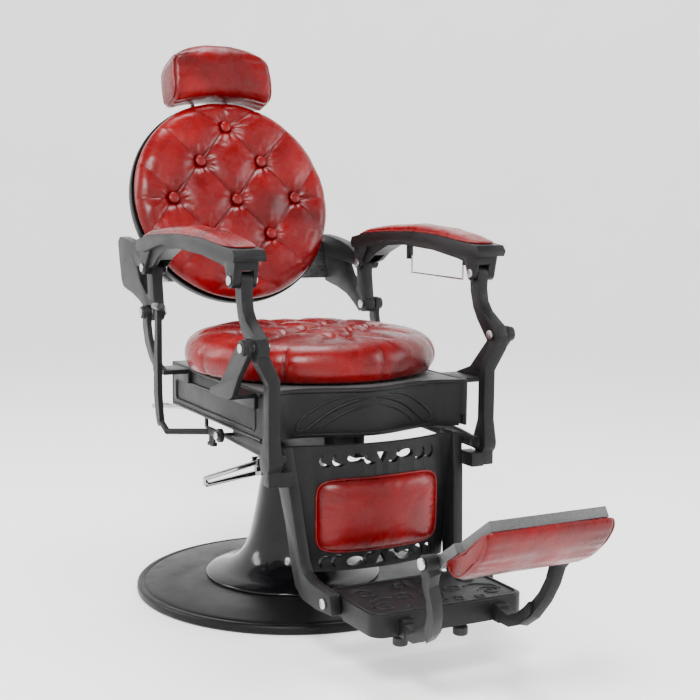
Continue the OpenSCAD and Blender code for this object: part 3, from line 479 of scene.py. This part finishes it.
# arm pads
ZB = [(-326, 729.2), (-280, 733.3), (-200, 741.3), (-100, 744.3), (0, 740.3), (100, 733.3), (150, 724.9)]
ZT = [(-326, 733.5), (-322, 735.5), (-271, 745), (-197, 755), (-96, 760), (3, 755), (91, 746), (146, 732), (150, 729)]
def arm_pad(sgn, body, node, tag):
    ny, nu = 170, 46
    y = np.linspace(-0.326, 0.150, ny); yy = 0.5 - 0.5 * np.cos(np.linspace(0, np.pi, ny)); y = -0.326 + 0.476 * (0.55 * yy + 0.45 * np.linspace(0, 1, ny))
    zb = np.interp(y * 1000, *zip(*ZB)) / 1000; zt = np.interp(y * 1000, *zip(*ZT)) / 1000
    s = (y + 0.088) / 0.238; w = 0.0292 * np.maximum(1 - np.abs(s) ** 14, 0.0) ** (1 / 3.0); w = np.maximum(w, 0.0010)
    ph = np.linspace(0, np.pi, nu)
    C, S = np.cos(ph), np.sin(ph)
    X = w[:, None] * np.sign(C) * np.abs(C) ** 0.62
    T = (zt - zb)[:, None] * np.maximum(1 - np.abs(s) ** 20, 0.05)[:, None] ** 0.5
    Z = zb[:, None] + T * np.abs(S) ** 0.62
    P = np.stack([X, y[:, None] + 0 * X, Z], -1); nz = noise_arr(P, 22, 3.0 * sgn); nz2 = noise_arr(P, 75, 7.0 * sgn)
    k = (np.abs(S) ** 0.7)[None, :]
    cross = np.zeros_like(X); rng = np.random.default_rng(11 if sgn > 0 else 12)
    for yc in rng.uniform(-0.29, 0.12, 9):
        tilt = rng.uniform(-0.5, 0.5); d = np.abs((y[:, None] - yc) - tilt * X); cross += rng.uniform(0.4, 1.0) * np.exp(-(d / 0.0035) ** 2) * np.clip(np.abs(X) / 0.03, 0, 1) ** 1.5
    Z = Z + (0.0011 * nz + 0.0004 * nz2 - 0.0008 * cross) * k
    top = np.stack([X + sgn * 0.250, y[:, None] + 0 * X, Z], -1)
    nv = 8; U = np.linspace(-1, 1, nv)[None, 1:-1]
    bot = np.stack([w[:, None] * U + sgn * 0.250, y[:, None] + 0 * U, zb[:, None] + 0 * U], -1)
    R = np.concatenate([top, bot], 1); m = R.shape[1]
    f = [(i * m + j, i * m + (j + 1) % m, (i + 1) * m + (j + 1) % m, (i + 1) * m + j) for i in range(ny - 1) for j in range(m)]
    f += [tuple(range(m))[::-1], tuple((ny - 1) * m + j for j in range(m))]
    # Painted shade along the side seams and in the pressed-in cross wrinkles.
    seam = np.exp(-(np.minimum(ph, np.pi - ph) / 0.16) ** 2)[None, :] * 0.5 + 0 * X
    A = np.concatenate([seam + 0.35 * np.clip(cross, 0, 1), np.zeros((ny, bot.shape[1]))], 1)
    o = new_obj("arm_pad_" + tag + "_stuffed", R.reshape(-1, 3), f, body, "red_leather", attr=A.reshape(-1))
    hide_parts(node)
    lip = [(sgn * 0.250 + float(a), float(b), float(c) + 0.0016) for a, b, c in zip(w, y, zb)] + [(sgn * 0.250 - float(a), float(b), float(c) + 0.0016) for a, b, c in list(zip(w, y, zb))[::-1]]
    t = tube("arm_pad_" + tag + "_piping", lip, 0.0019, body, "red_leather", 8, closed=True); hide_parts(node)
arm_pad(1, "arm_left", "arm_pad_left", "left"); arm_pad(-1, "arm_right", "arm_pad_right", "right")

# ------------------------------------------------------------ castings, plate and plated work
EASE = {"frame_front": 0.002, "frame_sides": 0.002, "frame_rear": 0.002, "seat_deck": 0.0015, "long_beams": 0.002, "cross_beams": 0.002,
        "front_ears": 0.003, "rear_ears": 0.003, "leg_post_left": 0.004, "leg_post_right": 0.004, "leg_sides": 0.003, "leg_panel": 0.002, "platform": 0.004,
        "pad_arms": 0.003, "arm_left": 0.0035, "arm_right": 0.0035, "back_brackets": 0.003, "back_plate": 0.0015, "back_shell": 0.0025, "drag_link_left": 0.002,
        "drag_link_right": 0.002, "recline_lever": 0.0, "footpad_board": 0.002, "headrest_bracket": 0.0015, "headrest_guides": 0.001, "swivel_plate": 0.0015, "seat_board": 0.001,
        "pump_head": 0.0015, "turntable": 0.0015, "column_cover": 0.0015, "base_disc": 0.0015, "pump_lever": 0.0008, "brake_lever": 0.0008, "towel_rail": 0.0}
SOFT = {"seat_cushion", "seat_buttons", "back_cushion", "back_buttons", "headrest_cushion", "calf_pad", "footpad_cushion", "arm_pad_left", "arm_pad_right"}
for n, o in NODES.items():
    if n in SOFT: continue
    if n in EASE:
        bevelled(n, EASE[n])
    else:
        bevelled(n, 0.0006, 2)

# ------------------------------------------------------------ raised work on the castings
def ridge(name, pts, r, body, node, slot, flat=None):
    t = tube(name, pts, r, body, slot, 10); return t
def fy(x):
    a = abs(x)
    return -329 - 17 * math.cos(math.radians(180 * x / 150)) if a < 150 else -312 - 8.5 * (1 - math.cos(math.radians(180 * (a - 150) / 57))) if a < 207 else -329
def front_line(name, ctrl, r, lift=0.0):
    """A raised line on the seat frame's curved front, from control points (x, z) in mm."""
    p = spline([(x, 0, z) for x, z in ctrl], 10); pts = [(q.x / 1000, (fy(q.x) - lift) / 1000, q.z / 1000) for q in p]
    return tube(name, pts, [r * (0.35 + 0.65 * math.sin(math.pi * min(1, max(0, i / (len(pts) - 1)))) ** 0.5) for i in range(len(pts))], "seat", "cast_black", 10)
for sgn, tag in ((-1, "r"), (1, "l")):
    front_line("front_swoosh_a_" + tag, [(sgn * 6, 452), (sgn * 40, 446), (sgn * 80, 428), (sgn * 112, 404), (sgn * 128, 392)], 0.0034)
    front_line("front_swoosh_b_" + tag, [(sgn * 10, 438), (sgn * 44, 430), (sgn * 78, 412), (sgn * 100, 394)], 0.0026)
    front_line("front_swoosh_c_" + tag, [(sgn * 34, 458), (sgn * 74, 450), (sgn * 110, 432), (sgn * 138, 410), (sgn * 143, 396), (sgn * 134, 392), (sgn * 128, 400)], 0.0026)
    x = sgn * 0.2150
    loop = [(x, -0.285, 0.395), (x, 0.105, 0.395), (x, 0.112, 0.402), (x, 0.112, 0.432), (x, 0.105, 0.439), (x, -0.285, 0.439), (x, -0.292, 0.432), (x, -0.292, 0.402)]
    tube("side_border_" + tag, loop, 0.0026, "seat", "cast_black", 10, closed=True)
    tube("side_ledge_" + tag, [(x, -0.318, 0.4645), (x, 0.130, 0.4645)], 0.0032, "seat", "cast_black", 10)
    tube("side_lower_ledge_" + tag, [(x, -0.318, 0.3835), (x, 0.130, 0.3835)], 0.0028, "seat", "cast_black", 10)
front_line("front_top_rib", [(-212, 465), (-150, 465), (-75, 465), (0, 465), (75, 465), (150, 465), (212, 465)], 0.0030)
front_line("front_low_rib", [(-145, 385), (-75, 385), (0, 385), (75, 385), (145, 385)], 0.0028)

def scroll(name, cx, cy, r0, r1, a0, a1, z, rad=0.0022, n=40, flip=1, body="legs"):
    pts = []
    for i in range(n + 1):
        f = i / n; r = r0 + (r1 - r0) * f; a = math.radians(a0 + (a1 - a0) * f)
        pts.append(((cx + flip * r * math.cos(a)) / 1000, (cy + r * math.sin(a)) / 1000, z))
    return tube(name, pts, [rad * (0.5 + 0.5 * min(1, 6 * (i / n), 6 * (1 - i / n) + 0.2)) for i in range(n + 1)], body, "cast_black", 8)
ZT_ = 0.1381
for sgn, tag in ((-1, "r"), (1, "l")):
    for k, (cx, cy, r0, r1, a0, a1) in enumerate([(104, -585, 2.5, 22, 0, 520), (104, -510, 2.5, 24, 180, -360), (52, -548, 2.5, 20, 90, 600), (30, -600, 2, 12, 0, 470), (32, -494, 2, 13, 180, -290), (72, -606, 2, 11, 200, -260)]):
        scroll("tread_scroll_%d_%s" % (k, tag), sgn * cx, cy, r0, r1, a0, a1, ZT_, flip=sgn)
    tube("tread_stem_a_" + tag, [(q.x / 1000, q.y / 1000, ZT_) for q in spline([(sgn * 126, -583, 0), (sgn * 124, -560, 0), (sgn * 108, -546, 0), (sgn * 88, -541, 0), (sgn * 72, -549, 0)], 8)], 0.0022, "legs", "cast_black", 8)
    tube("tread_stem_b_" + tag, [(q.x / 1000, q.y / 1000, ZT_) for q in spline([(sgn * 8, -470, 0), (sgn * 16, -500, 0), (sgn * 10, -530, 0), (sgn * 18, -562, 0), (sgn * 8, -596, 0)], 8)], 0.0022, "legs", "cast_black", 8)
border = [(-142, -462), (-142, -508), (-147, -516), (-147, -600)] + [(-147 + 23 + 23 * math.cos(math.radians(a)), -602 + 23 * math.sin(math.radians(a))) for a in range(195, 270, 15)] + \
         [(147 - 23 + 23 * math.cos(math.radians(a)), -602 + 23 * math.sin(math.radians(a))) for a in range(270, 360, 15)] + [(147, -600), (147, -516), (142, -508), (142, -462)]
tube("tread_border", [(a * 0.972 / 1000, (b + 3) / 1000, ZT_) for a, b in border], 0.0026, "legs", "cast_black", 8, closed=True)
tube("tread_edge_rib", [(a * 0.998 / 1000, b * 0.9990 / 1000, 0.116) for a, b in border[2:-2]], 0.0022, "legs", "cast_black", 8)


# ------------------------------------------------------------ studio
def stage_bowl():
    """A pale round sweep, so that no side of it shows a corner."""
    n = 96; prof = [(0.0, 0.0), (1.5, 0.0), (3.2, 0.0), (4.2, 0.0)] + [(4.2 + 2.2 * math.sin(t), 2.2 - 2.2 * math.cos(t)) for t in np.linspace(0.1, math.pi / 2, 14)] + [(6.4, 7.0)]
    vs = [(0, 0, -0.0002)] + [(r * math.cos(2 * math.pi * k / n), r * math.sin(2 * math.pi * k / n), z - 0.0002) for r, z in prof[1:] for k in range(n)]
    fs = [(0, 1 + k, 1 + (k + 1) % n) for k in range(n)]
    for i in range(len(prof) - 2):
        for k in range(n):
            a = 1 + i * n + k; b = 1 + i * n + (k + 1) % n; fs.append((a, a + n, b + n, b))
    me = bpy.data.meshes.new("sweep"); me.from_pydata(vs, [], fs); me.polygons.foreach_set("use_smooth", [True] * len(me.polygons))
    o = bpy.data.objects.new("sweep", me); bpy.context.scene.collection.objects.link(o)
    m_, nt, b = mat("sweep_paper", (0.90, 0.90, 0.90), 0.85, 0, 0, 0.1, 0.1)
    t = noise_tex(nt, 3, 2); r = ramp(nt, t.outputs["Fac"], [(0.3, (0.90, 0.90, 0.90)), (0.7, (0.93, 0.93, 0.925))]); nt.links.new(r.outputs["Color"], b.inputs["Base Color"])
    b.inputs["Emission Color"].default_value = (1, 1, 1, 1); b.inputs["Emission Strength"].default_value = 0.45
    me.materials.append(m_)
stage_bowl()

def area(name, loc, target, size, power, color=(1, 1, 1), size_y=None):
    l = bpy.data.lights.new(name, "AREA"); l.energy = power; l.color = color; l.size = size
    if size_y: l.shape = "RECTANGLE"; l.size_y = size_y
    o = bpy.data.objects.new(name, l); o.location = loc
    o.rotation_euler = (Vector(target) - Vector(loc)).to_track_quat("-Z", "Y").to_euler()
    bpy.context.scene.collection.objects.link(o); return o
area("key", (-1.6, -2.2, 2.9), (0, 0, 0.6), 0.9, 150, (1.0, 0.99, 0.97), 1.1)
area("fill", (2.8, -1.6, 1.6), (0, 0, 0.55), 1.0, 45, (0.97, 0.98, 1.0), 1.6)
area("top", (0.2, 0.5, 3.2), (0, 0, 0.5), 1.2, 85, (1, 1, 1), 1.2)
area("rim", (-2.4, 1.6, 1.9), (0, 0, 0.7), 0.8, 55, (1, 1, 1), 1.6)
w = bpy.data.worlds.new("studio"); bpy.context.scene.world = w; w.use_nodes = True
w.node_tree.nodes["Background"].inputs["Color"].default_value = (0.93, 0.94, 0.96, 1)
w.node_tree.nodes["Background"].inputs["Strength"].default_value = 0.35

cam = bpy.data.cameras.new("camera"); cam.sensor_width = 36; cam.lens = 68.94
co = bpy.data.objects.new("camera", cam); bpy.context.scene.collection.objects.link(co)
a, e, rr_ = math.radians(-27.83), math.radians(7.37), math.radians(0.56)
bk = Vector((math.sin(a) * math.cos(e), -math.cos(a) * math.cos(e), math.sin(e))); rt = Vector((math.cos(a), math.sin(a), 0)); up = bk.cross(rt)
r2 = rt * math.cos(rr_) + up * math.sin(rr_); u2 = up * math.cos(rr_) - rt * math.sin(rr_)
mw = Matrix((r2, u2, bk)).transposed().to_4x4(); mw.translation = Vector((-1.17899, -2.48133, 0.85442)); co.matrix_world = mw
bpy.context.scene.camera = co
